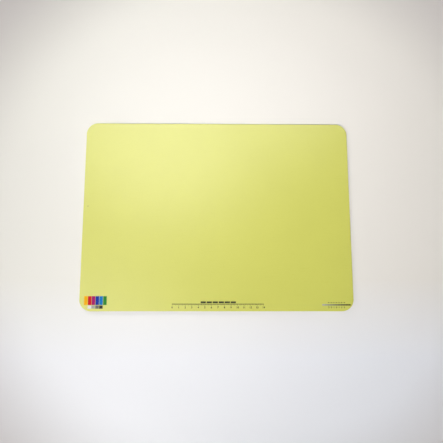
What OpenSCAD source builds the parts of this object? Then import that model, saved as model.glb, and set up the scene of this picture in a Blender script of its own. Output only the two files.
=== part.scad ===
// Flat easel board: a thin laminated board with rounded corners, which lies on four foot pads.
// Paper lies on the printed face, and magnet strips hold it to a steel sheet below the print.
// Millimetres. The origin is the centre of the plane that the pads stand on.
// +X is right, +Y is the rear and +Z is up, seen by someone who works at the front edge.

/* [Board] */
// Width of the finished board, left to right
board_w = 420; // [300:1:600]
// Depth of the finished board, front to rear
board_d = 300; // [200:1:450]
// Radius of the four corners, seen from above
corner_r = 18; // [6:0.5:40]

/* [Layers] */
// Thickness of the clear film over the print
film_t = 0.1; // [0.05:0.05:0.3]
// Thickness of the printed face sheet
face_t = 0.2; // [0.1:0.05:0.6]
// Thickness of the steel sheet that magnet strips hold to
steel_t = 0.3; // [0.2:0.05:1]
// Thickness of the stiff core
core_t = 1.2; // [0.8:0.1:4]
// Thickness of the balancing sheet on the back
back_t = 0.2; // [0.1:0.05:1]

/* [Edge band] */
// Thickness of the band round the layers below the face sheet
band_t = 1; // [0.5:0.1:3]
// Radius of the band's lower outer edge
band_edge_r = 0.5; // [0.2:0.1:1]
// Glue line between the band and the layers inside it
glue_line = 0.05; // [0.02:0.01:0.2]
// Gap at the seam where the band's two ends meet, in the middle of the rear edge
seam_gap = 0.2; // [0.1:0.05:1]

/* [Foot pads] */
// Diameter of a foot pad
pad_d = 12; // [8:0.5:25]
// Thickness of a foot pad
pad_t = 0.5; // [0.3:0.1:3]
// Radius of a pad's lower rim
pad_rim_r = 0.2; // [0.1:0.05:0.5]
// Least distance from a pad's rim to the board's outline
pad_margin = 16; // [4:0.5:60]
// Thickness of the adhesive disc that holds a pad
tape_t = 0.1; // [0.05:0.05:0.3]
// How far the adhesive disc stays inside the pad's rim
tape_setback = 0.5; // [0.2:0.1:2]

/* [Hidden] */
$fn = 96;

// Heights of the undersides of the pieces, from the ground up
tape_z = pad_t;
back_z = tape_z + tape_t;
core_z = back_z + back_t;
steel_z = core_z + core_t;
face_z = steel_z + steel_t;
film_z = face_z + face_t;

// The band reaches from the underside of the back sheet to the face sheet, which covers it
band_h = face_z - back_z;

// The layers inside the band stay this far from the board's outline
layer_inset = band_t + glue_line;

// Roundings, limited by the walls that carry them
edge_r = min(band_edge_r, band_t, band_h / 2);
rim_r = min(pad_rim_r, pad_t / 2);

// A pad's centre lies as near to the corner as its margin to the straight edges and to the arc allows
pad_reach = pad_margin + pad_d / 2;
pad_inset = max(pad_reach, corner_r - (corner_r - pad_reach) / sqrt(2));

// A cut runs this far past the faces it opens
cut_over = 1;

// Name of each corner, with its side in X and in Y
CORNERS = [
    ["front_left", -1, -1],
    ["front_right", 1, -1],
    ["rear_left", -1, 1],
    ["rear_right", 1, 1]
];

// A flat sheet with the board's outline, moved in by inset
module sheet(z, t, inset = 0) {
    w = board_w - 2 * inset;
    d = board_d - 2 * inset;
    r = corner_r - inset;
    translate([0, 0, z])
        linear_extrude(t) {
            square([w - 2 * r, d], center = true);
            square([w, d - 2 * r], center = true);
            for (c = CORNERS)
                translate([c[1] * (w / 2 - r), c[2] * (d / 2 - r)])
                    circle(r);
        }
}

// Section of the band: X runs outwards from its inner face, Y runs up from its lower edge
module band_section() {
    intersection() {
        square([band_t, band_h]);
        union() {
            translate([-edge_r, 0]) square([band_t, band_h]);
            translate([0, edge_r]) square([band_t, band_h - edge_r]);
            translate([band_t - edge_r, edge_r]) circle(edge_r);
        }
    }
}

// One straight run of the band on the +X side, with its outer face at x = reach
module band_run(reach, length) {
    translate([reach - band_t, length / 2, 0])
        rotate([90, 0, 0])
            linear_extrude(length) band_section();
}

// The band's turn round the corner in the +X +Y quarter
module band_turn() {
    rotate_extrude(angle = 90)
        translate([corner_r - band_t, 0]) band_section();
}

module wear_film() {
    color([0.96, 0.97, 0.9, 0.3]) sheet(film_z, film_t);
}

module face_sheet() {
    color([0.83, 0.83, 0.37]) sheet(face_z, face_t);
}

module steel_sheet() {
    color("silver") sheet(steel_z, steel_t, layer_inset);
}

module core_board() {
    color([0.55, 0.4, 0.26]) sheet(core_z, core_t, layer_inset);
}

module back_sheet() {
    color([0.93, 0.93, 0.9]) sheet(back_z, back_t, layer_inset);
}

module edge_band() {
    side_run = board_d - 2 * corner_r;
    end_run = board_w - 2 * corner_r;
    color([0.29, 0.26, 0.23])
        translate([0, 0, back_z])
            difference() {
                union() {
                    for (turn = [0, 180]) {
                        rotate(turn) band_run(board_w / 2, side_run);
                        rotate(turn + 90) band_run(board_d / 2, end_run);
                        rotate(turn) translate([end_run / 2, side_run / 2]) band_turn();
                        rotate(turn) translate([-end_run / 2, side_run / 2]) rotate(90) band_turn();
                    }
                }
                translate([-seam_gap / 2, board_d / 2 - band_t - cut_over, -cut_over])
                    cube([seam_gap, band_t + 2 * cut_over, band_h + 2 * cut_over]);
            }
}

// Moves its children to the pad place at a corner
module at_pad(c) {
    translate([c[1] * (board_w / 2 - pad_inset), c[2] * (board_d / 2 - pad_inset)])
        children();
}

module foot_pad(c) {
    color([0.16, 0.16, 0.17])
        at_pad(c)
            rotate_extrude() {
                square([pad_d / 2 - rim_r, pad_t]);
                translate([0, rim_r]) square([pad_d / 2, pad_t - rim_r]);
                intersection() {
                    translate([pad_d / 2 - rim_r, rim_r]) circle(rim_r);
                    square([pad_d / 2, pad_t]);
                }
            }
}

module pad_tape(c) {
    color([0.85, 0.84, 0.78])
        at_pad(c)
            translate([0, 0, tape_z]) cylinder(d = pad_d - 2 * tape_setback, h = tape_t);
}

wear_film();
face_sheet();
steel_sheet();
core_board();
back_sheet();
edge_band();
for (c = CORNERS) {
    foot_pad(c);
    pad_tape(c);
}
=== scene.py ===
"""The looks of a flat easel board: its printed face, edge band, back, foot pads and print marks.

Lengths are in metres, in the CAD model's own frame: +X right, +Y to the rear, +Z up, ground at z = 0.
"""

import math

import bmesh
import bpy
from mathutils import Matrix, Vector


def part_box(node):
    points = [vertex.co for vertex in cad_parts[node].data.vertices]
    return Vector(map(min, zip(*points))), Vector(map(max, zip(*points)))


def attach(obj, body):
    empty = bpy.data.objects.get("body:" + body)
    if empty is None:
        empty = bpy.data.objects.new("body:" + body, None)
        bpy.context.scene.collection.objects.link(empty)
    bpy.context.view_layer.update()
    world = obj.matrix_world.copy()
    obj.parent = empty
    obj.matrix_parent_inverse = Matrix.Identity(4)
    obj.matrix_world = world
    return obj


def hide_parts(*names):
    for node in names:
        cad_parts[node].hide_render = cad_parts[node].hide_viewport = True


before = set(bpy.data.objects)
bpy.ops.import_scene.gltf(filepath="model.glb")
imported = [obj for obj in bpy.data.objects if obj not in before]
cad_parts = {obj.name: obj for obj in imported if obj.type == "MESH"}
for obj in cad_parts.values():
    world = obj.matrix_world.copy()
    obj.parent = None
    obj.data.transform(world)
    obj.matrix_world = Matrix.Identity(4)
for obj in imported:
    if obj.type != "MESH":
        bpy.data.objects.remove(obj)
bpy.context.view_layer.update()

MM = 0.001

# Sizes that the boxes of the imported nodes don't give
CORNER_R = 18 * MM
BAND_T = 1 * MM
BAND_EDGE_R = 0.5 * MM
BAND_BEVEL = 0.06 * MM
SEAM_GAP = 0.2 * MM
SHEET_BEVEL = 0.08 * MM

# Fineness of the rounded meshes, and the angle from which an edge is shaded as sharp
CORNER_STEPS = 32
EDGE_STEPS = 8
FLOOR_STEPS = 96
SHARP_ANGLE = math.radians(40)

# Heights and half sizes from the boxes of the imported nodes
BAND_LOW, BAND_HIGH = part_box("edge_band")
HALF_W = BAND_HIGH.x
HALF_D = BAND_HIGH.y
FACE_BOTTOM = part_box("face_sheet")[0].z
FACE_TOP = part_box("wear_film")[1].z

# The ink reaches up to the board's top. The film lies this much lower, and the ink goes as deep into it
INK_T = 0.012 * MM
FILM_TOP = FACE_TOP - INK_T
INK_LOW = FILM_TOP - INK_T


def srgb(red, green, blue):
    """A colour as it looks on a screen, from 0 to 255, as the linear colour that Blender takes."""
    def linear(value):
        share = value / 255
        return share / 12.92 if share <= 0.04045 else ((share + 0.055) / 1.055) ** 2.4
    return (linear(red), linear(green), linear(blue), 1.0)


LIME = srgb(211, 211, 98)
SPECK_COLOUR = srgb(96, 88, 60)
BLACK_INK = srgb(30, 31, 24)
DARK_BAND = srgb(74, 66, 58)
BACKING_WHITE = srgb(231, 231, 225)
RUBBER_BLACK = srgb(42, 42, 44)
DUST_GREY = srgb(110, 108, 102)
TAPE_CREAM = srgb(214, 210, 196)
ZINC_GREY = srgb(186, 188, 190)
HARDBOARD_BROWN = srgb(134, 98, 66)

# Roughness of each finish, from its smoothest spots to its roughest
FILM_ROUGHNESS = (0.267, 0.322)
INK_ROUGHNESS = (0.6, 0.7)
BAND_ROUGHNESS = (0.45, 0.58)
BACKING_ROUGHNESS = (0.6, 0.68)
RUBBER_ROUGHNESS = (0.72, 0.86)
TAPE_ROUGHNESS = (0.6, 0.75)
ZINC_ROUGHNESS = (0.3, 0.45)
HARDBOARD_ROUGHNESS = (0.75, 0.9)


# Mesh helpers

def rounded_outline():
    """Points of the board's outline, each with its outward normal.

    They run anticlockwise from the rear left corner round to the rear right corner.
    """
    points = []
    for quarter, (side_x, side_y) in enumerate([(-1, 1), (-1, -1), (1, -1), (1, 1)], start=1):
        centre = Vector((side_x * (HALF_W - CORNER_R), side_y * (HALF_D - CORNER_R)))
        for step in range(CORNER_STEPS + 1):
            angle = math.pi / 2 * (quarter + step / CORNER_STEPS)
            normal = Vector((math.cos(angle), math.sin(angle)))
            points.append((centre + normal * CORNER_R, normal))
    return points


def add_ring(bm, outline, inset, z):
    return [bm.verts.new((*(point - normal * inset), z)) for point, normal in outline]


def join_rings(bm, lower, upper, closed):
    count = len(lower) if closed else len(lower) - 1
    for i in range(count):
        j = (i + 1) % len(lower)
        bm.faces.new((lower[i], lower[j], upper[j], upper[i]))


def close_stack(bm, rings):
    """Joins closed rings from the lowest to the highest and covers both ends."""
    for lower, upper in zip(rings, rings[1:]):
        join_rings(bm, lower, upper, closed=True)
    bm.faces.new(rings[0])
    bm.faces.new(rings[-1])


def make_piece(name, bm, material):
    """Turns bm into a piece that rides on the board."""
    bmesh.ops.recalc_face_normals(bm, faces=bm.faces)
    mesh = bpy.data.meshes.new(name)
    bm.to_mesh(mesh)
    bm.free()
    mesh.shade_smooth()
    mesh.set_sharp_from_angle(angle=SHARP_ANGLE)
    mesh.materials.append(material)
    piece = bpy.data.objects.new(name, mesh)
    bpy.context.scene.collection.objects.link(piece)
    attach(piece, "root")
    return piece


# Material helpers

# The range that most values of a noise lie in
NOISE_LOW = 0.3
NOISE_HIGH = 0.7


def feed(tree, socket, value):
    """Links the socket to value, or sets it to value where that is a plain one."""
    if isinstance(value, bpy.types.NodeSocket):
        tree.links.new(value, socket)
    else:
        socket.default_value = value


def add_node(tree, kind, inputs, **settings):
    made = tree.nodes.new("ShaderNode" + kind)
    for key, value in settings.items():
        setattr(made, key, value)
    for key, value in inputs.items():
        feed(tree, made.inputs[key], value)
    return made


class Surface:
    """A material with one Principled shader, and short ways to add nodes to it."""

    def __init__(self, name):
        self.material = bpy.data.materials.new(name)
        self.material.use_nodes = True
        self.tree = self.material.node_tree
        self.shader = self.tree.nodes["Principled BSDF"]
        self.place = self.node("TexCoord", {}).outputs["Object"]

    def set(self, name, value):
        feed(self.tree, self.shader.inputs[name], value)

    def node(self, kind, inputs, **settings):
        return add_node(self.tree, kind, inputs, **settings)

    def noise(self, size, detail=2.0, stretch=(1, 1, 1), shift=(0, 0, 0)):
        """Soft noise from 0 to 1 with features of about that size, stretched along the axes."""
        scale = tuple(1 / (size * s) for s in stretch)
        mapped = self.node("Mapping", {"Vector": self.place, "Scale": scale, "Location": shift})
        made = self.node("TexNoise", {"Vector": mapped.outputs[0], "Scale": 1.0, "Detail": detail})
        return made.outputs["Fac"]

    def remap(self, value, low, high, new_low, new_high, **settings):
        """The share of value between low and high, as the same share between new_low and new_high."""
        made = self.node("MapRange", {
            "Value": value,
            "From Min": low,
            "From Max": high,
            "To Min": new_low,
            "To Max": new_high,
        }, **settings)
        return made.outputs[0]

    def vary(self, noise, low, high):
        """low to high, as the noise goes through its usual range."""
        return self.remap(noise, NOISE_LOW, NOISE_HIGH, low, high)

    def math(self, operation, first, second):
        return self.node("Math", {0: first, 1: second}, operation=operation).outputs[0]

    def distance(self, centre):
        made = self.node("VectorMath", {0: self.place, 1: centre}, operation="DISTANCE")
        return made.outputs["Value"]

    def mix(self, factor, first, second, blend="MIX"):
        made = self.node("Mix", {0: factor, 6: first, 7: second}, data_type="RGBA", blend_type=blend)
        return made.outputs[2]

    def shade(self, colour, noise, low, high):
        """The colour times low to high, as the noise goes through its usual range."""
        return self.mix(1.0, colour, self.vary(noise, low, high), "MULTIPLY")

    def bump(self, height, distance, under=None):
        made = self.node("Bump", {"Height": height, "Distance": distance, "Strength": 1.0})
        if under is not None:
            feed(self.tree, made.inputs["Normal"], under)
        return made.outputs[0]


# A streak is rubbed smooth as its noise passes from the first value to the second
RUB_START = 0.62
RUB_FULL = 0.8
RUB_SMOOTHING = -0.03
FILM_GRAIN_LOW = 0.25
FILM_GRAIN_HIGH = 0.75


def satin_film(surface):
    """The clear film's finish: fine grain, slow waves left by laminating, and faint rubbed streaks."""
    grain = surface.noise(0.35 * MM, detail=1)
    waves = surface.noise(14 * MM, detail=1)
    streaks = surface.noise(1.2 * MM, detail=3, stretch=(30, 1, 1), shift=(3, 7, 0))
    rubbed = surface.remap(streaks, RUB_START, RUB_FULL, 0.0, RUB_SMOOTHING)
    rough = surface.remap(grain, FILM_GRAIN_LOW, FILM_GRAIN_HIGH, *FILM_ROUGHNESS)
    surface.set("Roughness", surface.math("ADD", rough, rubbed))
    wavy = surface.bump(waves, 0.02 * MM)
    surface.set("Normal", surface.bump(grain, 0.006 * MM, under=wavy))


# A small speck of dirt near the left edge, which fades out between two radii
SPECK_PLACE = (-203.1 * MM, 13.2 * MM, FILM_TOP)
SPECK_R = 0.4 * MM
SPECK_FADE_R = 1.1 * MM
SPECK_STRENGTH = 0.6


def face_material():
    surface = Surface("printed_face")
    tone = surface.shade(LIME, surface.noise(60 * MM), low=0.99, high=1.01)
    mottle = surface.shade(tone, surface.noise(0.8 * MM), low=0.985, high=1.015)
    speck = surface.remap(surface.distance(SPECK_PLACE), SPECK_R, SPECK_FADE_R, SPECK_STRENGTH, 0.0)
    surface.set("Base Color", surface.mix(speck, mottle, SPECK_COLOUR))
    satin_film(surface)
    return surface.material


INK_SPECULAR = 0.12


def ink_material():
    surface = Surface("ink")
    colour = surface.node("VertexColor", {}, layer_name="ink").outputs["Color"]
    grain = surface.noise(0.4 * MM)
    surface.set("Base Color", surface.shade(colour, grain, low=0.96, high=1.04))
    surface.set("Roughness", surface.vary(grain, *INK_ROUGHNESS))
    surface.set("Specular IOR Level", INK_SPECULAR)
    return surface.material


def band_material():
    surface = Surface("edge_band")
    streaks = surface.noise(0.25 * MM, stretch=(60, 60, 1))
    surface.set("Base Color", surface.shade(DARK_BAND, streaks, low=0.9, high=1.1))
    surface.set("Roughness", surface.vary(streaks, *BAND_ROUGHNESS))
    surface.set("Normal", surface.bump(streaks, 0.008 * MM))
    return surface.material


def backing_material():
    surface = Surface("backing")
    grain = surface.noise(0.9 * MM, detail=4)
    smudge = surface.noise(70 * MM, detail=3)
    surface.set("Base Color", surface.shade(BACKING_WHITE, smudge, low=0.97, high=1.01))
    surface.set("Roughness", surface.vary(smudge, *BACKING_ROUGHNESS))
    surface.set("Normal", surface.bump(grain, 0.05 * MM))
    return surface.material


# Dust thickens as its noise passes from the first value to the second, and hides up to this share
DUST_START = 0.5
DUST_FULL = 0.8
DUST_SHARE = 0.25


def rubber_material():
    surface = Surface("pad_rubber")
    stipple = surface.noise(0.5 * MM)
    dust = surface.remap(surface.noise(3 * MM, detail=4), DUST_START, DUST_FULL, 0.0, DUST_SHARE)
    surface.set("Base Color", surface.mix(dust, RUBBER_BLACK, DUST_GREY))
    surface.set("Roughness", surface.vary(stipple, *RUBBER_ROUGHNESS))
    surface.set("Normal", surface.bump(stipple, 0.05 * MM))
    return surface.material


def tape_material():
    surface = Surface("pad_tape")
    foam = surface.noise(0.15 * MM, detail=3)
    surface.set("Base Color", surface.shade(TAPE_CREAM, foam, low=0.92, high=1.04))
    surface.set("Roughness", surface.vary(foam, *TAPE_ROUGHNESS))
    surface.set("Normal", surface.bump(foam, 0.03 * MM))
    return surface.material


SPANGLE_SIZE = 8 * MM


def steel_material():
    surface = Surface("zinc_coated_steel")
    spangle = surface.node("TexVoronoi", {"Vector": surface.place, "Scale": 1 / SPANGLE_SIZE})
    crystal = surface.node("SeparateColor", {0: spangle.outputs["Color"]}).outputs[0]
    surface.set("Metallic", 1.0)
    surface.set("Base Color", surface.shade(ZINC_GREY, crystal, low=0.88, high=1.06))
    surface.set("Roughness", surface.remap(crystal, 0, 1, *ZINC_ROUGHNESS))
    return surface.material


def core_material():
    surface = Surface("hardboard_core")
    fibres = surface.noise(0.6 * MM, detail=5, stretch=(4, 4, 0.5))
    surface.set("Base Color", surface.shade(HARDBOARD_BROWN, fibres, low=0.8, high=1.15))
    surface.set("Roughness", surface.vary(fibres, *HARDBOARD_ROUGHNESS))
    surface.set("Normal", surface.bump(fibres, 0.1 * MM))
    return surface.material


# The board's pieces

def make_face():
    """The printed sheet under its film, as one plate with a fine bevel."""
    bm = bmesh.new()
    outline = rounded_outline()
    levels = [
        (SHEET_BEVEL, FACE_BOTTOM),
        (0, FACE_BOTTOM + SHEET_BEVEL),
        (0, FILM_TOP - SHEET_BEVEL),
        (SHEET_BEVEL, FILM_TOP),
    ]
    close_stack(bm, [add_ring(bm, outline, inset, z) for inset, z in levels])
    face = make_piece("printed_face", bm, face_material())
    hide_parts("face_sheet", "wear_film")


def band_section():
    """Section of the band as pairs of inset from the outline and height, round from its lower inner edge."""
    section = [(BAND_T, BAND_LOW.z)]
    for step in range(EDGE_STEPS + 1):
        turn = math.pi / 2 * step / EDGE_STEPS
        inset = BAND_EDGE_R * (1 - math.sin(turn))
        rise = BAND_EDGE_R * (1 - math.cos(turn))
        section.append((inset, BAND_LOW.z + rise))
    section += [(0, BAND_HIGH.z - BAND_BEVEL), (BAND_BEVEL, BAND_HIGH.z), (BAND_T, BAND_HIGH.z)]
    return section


def make_band():
    """The band runs round the outline from one side of the seam to the other, with closed ends."""
    bm = bmesh.new()
    rear = Vector((0, 1))
    ends = [(Vector((side * SEAM_GAP / 2, HALF_D)), rear) for side in (-1, 1)]
    outline = [ends[0]] + rounded_outline() + [ends[1]]
    strips = [add_ring(bm, outline, inset, z) for inset, z in band_section()]
    for lower, upper in zip(strips, strips[1:] + strips[:1]):
        join_rings(bm, lower, upper, closed=False)
    bm.faces.new([strip[0] for strip in strips])
    bm.faces.new([strip[-1] for strip in strips])
    band = make_piece("edge_band_shell", bm, band_material())
    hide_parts("edge_band")


# The print marks, in millimetres from the middle of the face

LEFT = -HALF_W / MM
RIGHT = HALF_W / MM
FRONT = -HALF_D / MM

# Height of a digit in the built-in font as a share of its size, and how much bolder and how fine it is made
DIGIT_HEIGHT = 0.7
DIGIT_WEIGHT = 0.03
DIGIT_STEPS = 4
DIGIT_WELD = 0.0001


class Ink:
    """Thin closed slabs on the film, gathered into one piece, with each one's colour kept on its points."""

    def __init__(self):
        self.bm = bmesh.new()
        self.colours = self.bm.verts.layers.float_color.new("ink")

    def point(self, x, y, z, colour):
        vert = self.bm.verts.new((x * MM, y * MM, z))
        vert[self.colours] = colour
        return vert

    def slab(self, corners, colour):
        rings = [[self.point(x, y, z, colour) for x, y in corners] for z in (INK_LOW, FACE_TOP)]
        close_stack(self.bm, rings)

    def block(self, left, front, width, depth, colour):
        right, rear = left + width, front + depth
        self.slab([(left, front), (right, front), (right, rear), (left, rear)], colour)

    def number(self, value, x, y, height, colour):
        """The number, centred on x, with its foot at y."""
        curve = bpy.data.curves.new("number", "FONT")
        curve.body = str(value)
        curve.align_x = "CENTER"
        curve.extrude = 1
        curve.offset = DIGIT_WEIGHT
        curve.resolution_u = DIGIT_STEPS
        holder = bpy.data.objects.new("number", curve)
        solid = bmesh.new()
        solid.from_mesh(holder.to_mesh())
        bmesh.ops.remove_doubles(solid, verts=solid.verts, dist=DIGIT_WELD)
        size = height / DIGIT_HEIGHT
        points = {}
        for vert in solid.verts:
            z = INK_LOW if vert.co.z < 0 else FACE_TOP
            points[vert] = self.point(x + vert.co.x * size, y + vert.co.y * size, z, colour)
        for face in solid.faces:
            self.bm.faces.new([points[vert] for vert in face.verts])
        solid.free()
        bpy.data.objects.remove(holder)
        bpy.data.curves.remove(curve)

    def finish(self, name, material):
        make_piece(name, self.bm, material)


PATCH_COLOURS = [
    srgb(244, 178, 0),
    srgb(208, 20, 36),
    srgb(168, 22, 104),
    srgb(18, 52, 158),
    srgb(0, 118, 196),
    srgb(40, 134, 46),
]
PATCH_LEFT = LEFT + 7.4
PATCH_FRONT = FRONT + 9.4
PATCH_W = 5.3
PATCH_D = 13.4
PATCH_PITCH = PATCH_W + 0.5

# Greys below the colour patches, from the second patch on
PATCH_GREYS = [228, 166, 104, 42]
PATCH_GREY_FRONT = FRONT + 3.8
PATCH_GREY_D = 4.8


def make_colour_patches(material):
    """A row of colour patches, to judge a print by, with grey steps below all but the two outer ones."""
    ink = Ink()
    for i, colour in enumerate(PATCH_COLOURS):
        ink.block(PATCH_LEFT + i * PATCH_PITCH, PATCH_FRONT, PATCH_W, PATCH_D, colour)
    for i, grey in enumerate(PATCH_GREYS, start=1):
        left = PATCH_LEFT + i * PATCH_PITCH
        ink.block(left, PATCH_GREY_FRONT, PATCH_W, PATCH_GREY_D, srgb(grey, grey, grey))
    ink.finish("colour_patches", material)


RULE_LEFT = -68.5
RULE_LENGTH = 140
RULE_BASE = FRONT + 11
RULE_BAR_D = 0.4
TICK_W = 0.46
CENTIMETRE_TICK_D = 2.6
HALF_TICK_D = 2.1
MILLIMETRE_TICK_D = 1.6
RULE_NUMBER_FRONT = FRONT + 4.4
RULE_NUMBER_H = 2.8

# The row of bars above the rule
BAR_COUNT = 6
BAR_LEFT = -25
BAR_FRONT = FRONT + 12.3
BAR_PITCH = 9.2
BAR_W = 8
BAR_D = 2.5


def tick_depth(millimetre):
    if millimetre % 10 == 0:
        return CENTIMETRE_TICK_D
    if millimetre % 5 == 0:
        return HALF_TICK_D
    return MILLIMETRE_TICK_D


def make_rule(material):
    """A rule with a tick for each millimetre, numbered in centimetres, below a row of bars."""
    ink = Ink()
    teeth = []
    for i in range(RULE_LENGTH + 1):
        start = RULE_LEFT + i - TICK_W / 2
        end = RULE_LEFT + i + TICK_W / 2
        tip = RULE_BASE - tick_depth(i)
        teeth += [(start, RULE_BASE), (start, tip), (end, tip), (end, RULE_BASE)]
    rear = RULE_BASE + RULE_BAR_D
    bar = [(teeth[-1][0], rear), (teeth[0][0], rear)]
    ink.slab(teeth[1:-1] + bar, BLACK_INK)
    for i in range(RULE_LENGTH // 10 + 1):
        ink.number(i, RULE_LEFT + 10 * i, RULE_NUMBER_FRONT, RULE_NUMBER_H, BLACK_INK)
    for i in range(BAR_COUNT):
        ink.block(BAR_LEFT + i * BAR_PITCH, BAR_FRONT, BAR_W, BAR_D, BLACK_INK)
    ink.finish("millimetre_rule", material)


STEP_COUNT = 11
STEP_PITCH = 4
STEP_GAP = 0.15
STEP_D = 2
STEP_LEFT = RIGHT - 48.5
STEP_FRONT = FRONT + 8.6
STEP_LIGHTEST = 175
STEP_DARKER = 15

# The steps up to this many from the middle one have an index tick and a number
STEPS_NUMBERED = 3
STEP_NUMBER_FRONT = FRONT + 4.8
STEP_NUMBER_H = 2.2
INDEX_FRONT = FRONT + 12.4
INDEX_W = 1.4
INDEX_D = 1.3


def make_grey_steps(material):
    """A row of grey steps. Those near its middle have an index tick above and a number below."""
    ink = Ink()
    for i in range(STEP_COUNT):
        left = STEP_LEFT + i * STEP_PITCH
        middle = left + STEP_PITCH / 2
        grey = STEP_LIGHTEST - i * STEP_DARKER
        ink.block(left, STEP_FRONT, STEP_PITCH - STEP_GAP, STEP_D, srgb(grey, grey, grey))
        from_middle = abs(i - STEP_COUNT // 2)
        if from_middle <= STEPS_NUMBERED:
            ink.block(middle - INDEX_W / 2, INDEX_FRONT, INDEX_W, INDEX_D, BLACK_INK)
            ink.number(from_middle, middle, STEP_NUMBER_FRONT, STEP_NUMBER_H, BLACK_INK)
    ink.finish("grey_steps", material)


def make_print():
    material = ink_material()
    make_colour_patches(material)
    make_rule(material)
    make_grey_steps(material)


def dress_nodes():
    """Gives each CAD node that stays its own finish."""
    finishes = {
        "steel_sheet": steel_material(),
        "core_board": core_material(),
        "back_sheet": backing_material(),
        "foot_pad": rubber_material(),
        "pad_tape": tape_material(),
    }
    for name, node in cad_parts.items():
        for start, material in finishes.items():
            if name.startswith(start):
                node.material_slots[0].material = material


# The stage

CAMERA_PLACE = Vector((-8.177, -163.299, 844.928)) * MM
CAMERA_TILT = math.radians(-10.2606)
CAMERA_SWAY = math.radians(1.0135)
CAMERA_ROLL = math.radians(-0.1544)
CAMERA_LENS = 44.268
CAMERA_SENSOR = 36


def make_camera():
    data = bpy.data.cameras.new("camera")
    data.lens = CAMERA_LENS
    data.sensor_width = CAMERA_SENSOR
    camera = bpy.data.objects.new("camera", data)
    turn = (
        Matrix.Rotation(CAMERA_ROLL, 3, "Z")
        @ Matrix.Rotation(CAMERA_SWAY, 3, "Y")
        @ Matrix.Rotation(CAMERA_TILT, 3, "X")
    )
    camera.matrix_world = Matrix.LocRotScale(CAMERA_PLACE, turn.transposed().to_quaternion(), None)
    bpy.context.scene.collection.objects.link(camera)
    bpy.context.scene.camera = camera


FLOOR_R = 3.0
FLOOR_ROUGHNESS = 0.39
FLOOR_CLOUD_SIZE = 0.25

# The floor's tones, and where one passes into the next. They paint light on the floor: a cooler tint in
# front for a bluish light there, and a lighter front right that makes up for the main lamp's falloff there.
FLOOR_FRONT_LEFT = srgb(239, 239, 242)
FLOOR_FRONT_RIGHT = srgb(247, 248, 253)
FLOOR_REAR_LEFT = srgb(236, 233, 224)
FLOOR_REAR_RIGHT = srgb(243, 238, 230)
FLOOR_LEFT_X = -0.25
FLOOR_RIGHT_X = 0.25
FLOOR_FRONT_Y = -0.22
FLOOR_REAR_Y = -0.1

# The floor turns into the backdrop between two distances from this centre. The backdrop's darker tone is
# painted shade: the floor darkens away from the object as if the light fell off there.
BACKDROP_COLOUR = srgb(189, 183, 181)
BACKDROP_CENTRE = (0.03, 0.015, 0)
BACKDROP_START = 0.35
BACKDROP_FULL = 0.57


def seen_directly(tree):
    """1 for what the camera sees, also in a mirror or through glass, and 0 for the light on the object."""
    path = add_node(tree, "LightPath", {}).outputs
    seen = path["Is Camera Ray"]
    for ray in ("Is Glossy Ray", "Is Transmission Ray"):
        seen = add_node(tree, "Math", {0: seen, 1: path[ray]}, operation="MAXIMUM").outputs[0]
    return seen


def floor_material():
    """A pale satin floor with painted light, painted cooler in front and lighter at the front right, that
    turns into the backdrop's own darker tone far from the object, as a painted darkening.
    """
    surface = Surface("floor")
    tree = surface.tree
    place = surface.node("SeparateXYZ", {0: surface.place}).outputs
    to_right = surface.remap(place["X"], FLOOR_LEFT_X, FLOOR_RIGHT_X, 0.0, 1.0)
    to_rear = surface.remap(place["Y"], FLOOR_FRONT_Y, FLOOR_REAR_Y, 0.0, 1.0)
    front = surface.mix(to_right, FLOOR_FRONT_LEFT, FLOOR_FRONT_RIGHT)
    rear = surface.mix(to_right, FLOOR_REAR_LEFT, FLOOR_REAR_RIGHT)
    # Painted light: the tones paint a cool light in front and make up for the main lamp's falloff at the
    # front right
    tone = surface.mix(to_rear, front, rear)
    clouds = surface.noise(FLOOR_CLOUD_SIZE, detail=1)
    surface.set("Base Color", surface.shade(tone, clouds, low=0.995, high=1.005))
    surface.set("Roughness", FLOOR_ROUGHNESS)
    # Painted shade: the floor fades into the darker backdrop tone away from the object
    away = surface.distance(BACKDROP_CENTRE)
    far = surface.remap(away, BACKDROP_START, BACKDROP_FULL, 0.0, 1.0, interpolation_type="SMOOTHSTEP")
    share = surface.math("MULTIPLY", far, seen_directly(tree))
    glow = surface.node("Emission", {"Color": BACKDROP_COLOUR, "Strength": 1.0}).outputs[0]
    both = surface.node("MixShader", {0: share, 1: surface.shader.outputs[0], 2: glow}).outputs[0]
    tree.links.new(both, tree.nodes["Material Output"].inputs["Surface"])
    return surface.material


def make_floor():
    bm = bmesh.new()
    bmesh.ops.create_circle(bm, cap_ends=True, radius=FLOOR_R, segments=FLOOR_STEPS)
    mesh = bpy.data.meshes.new("floor")
    bm.to_mesh(mesh)
    bm.free()
    mesh.materials.append(floor_material())
    floor = bpy.data.objects.new("floor", mesh)
    bpy.context.scene.collection.objects.link(floor)


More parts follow.
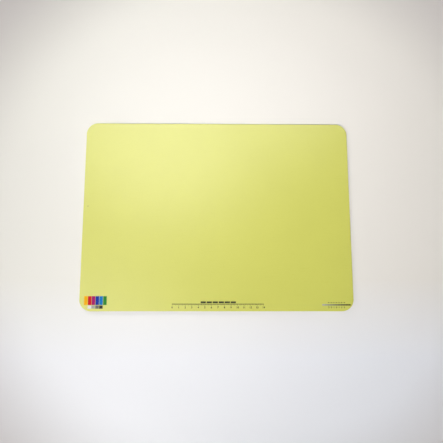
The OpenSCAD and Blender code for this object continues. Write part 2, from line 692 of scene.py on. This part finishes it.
def soft_lamp(name, place, radius, watts, aim=(0, 0, 0), spread=180, diffuse=True, gloss=True):
    """A round lamp out of the camera's sight.

    Without diffuse light it is a bright card for the film to reflect.
    Without gloss it shows in no reflection.
    """
    data = bpy.data.lights.new(name, "AREA")
    data.shape = "DISK"
    data.size = 2 * radius
    data.energy = watts
    data.spread = math.radians(spread)
    lamp = bpy.data.objects.new(name, data)
    lamp.location = place
    lamp.rotation_euler = (Vector(aim) - Vector(place)).to_track_quat("-Z", "Y").to_euler()
    lamp.visible_camera = False
    lamp.visible_diffuse = diffuse
    lamp.visible_glossy = gloss
    bpy.context.scene.collection.objects.link(lamp)


def make_lamps():
    soft_lamp(
        "main", place=(-0.91, -2.146, 3.251), radius=0.25, watts=4.21,
        aim=(0.02, 0.16, 0), spread=30.2,
    )
    soft_lamp("window", place=(-1.21, 1.79, 0.8), radius=0.322, watts=22.5, gloss=False)
    soft_lamp("left_card", place=(-0.288, 0.863, 1.9), radius=0.526, watts=18.6, diffuse=False)
    soft_lamp("right_card", place=(0.339, 0.666, 1.2), radius=0.153, watts=1.361, diffuse=False)
    soft_lamp("near_card", place=(-0.51, -0.411, 1.203), radius=0.511, watts=8.542, diffuse=False)


# The room's light comes from this direction, as strong as it is long, and fades to none square to it
ROOM_SLANT = (-0.42, -0.286, 0)
ROOM_COLOUR = (1, 1, 1, 1)


def make_room():
    """The light of the room, with a plain backdrop in its place for what is seen directly."""
    world = bpy.data.worlds.new("world")
    world.use_nodes = True
    tree = world.node_tree
    direction = add_node(tree, "TexCoord", {}).outputs["Generated"]
    slant = add_node(tree, "VectorMath", {0: direction, 1: ROOM_SLANT}, operation="DOT_PRODUCT")
    strength = add_node(tree, "Math", {0: slant.outputs["Value"], 1: 0.0}, operation="MAXIMUM")
    room = tree.nodes["Background"]
    feed(tree, room.inputs["Color"], ROOM_COLOUR)
    feed(tree, room.inputs["Strength"], strength.outputs[0])
    backdrop = add_node(tree, "Background", {"Color": BACKDROP_COLOUR, "Strength": 1.0})
    both = add_node(tree, "MixShader", {0: seen_directly(tree), 1: room.outputs[0], 2: backdrop.outputs[0]})
    tree.links.new(both.outputs[0], tree.nodes["World Output"].inputs["Surface"])
    bpy.context.scene.world = world


make_camera()
make_floor()
make_lamps()
make_room()
make_face()
make_band()
make_print()
dress_nodes()
bpy.context.scene.view_settings.view_transform = "Standard"
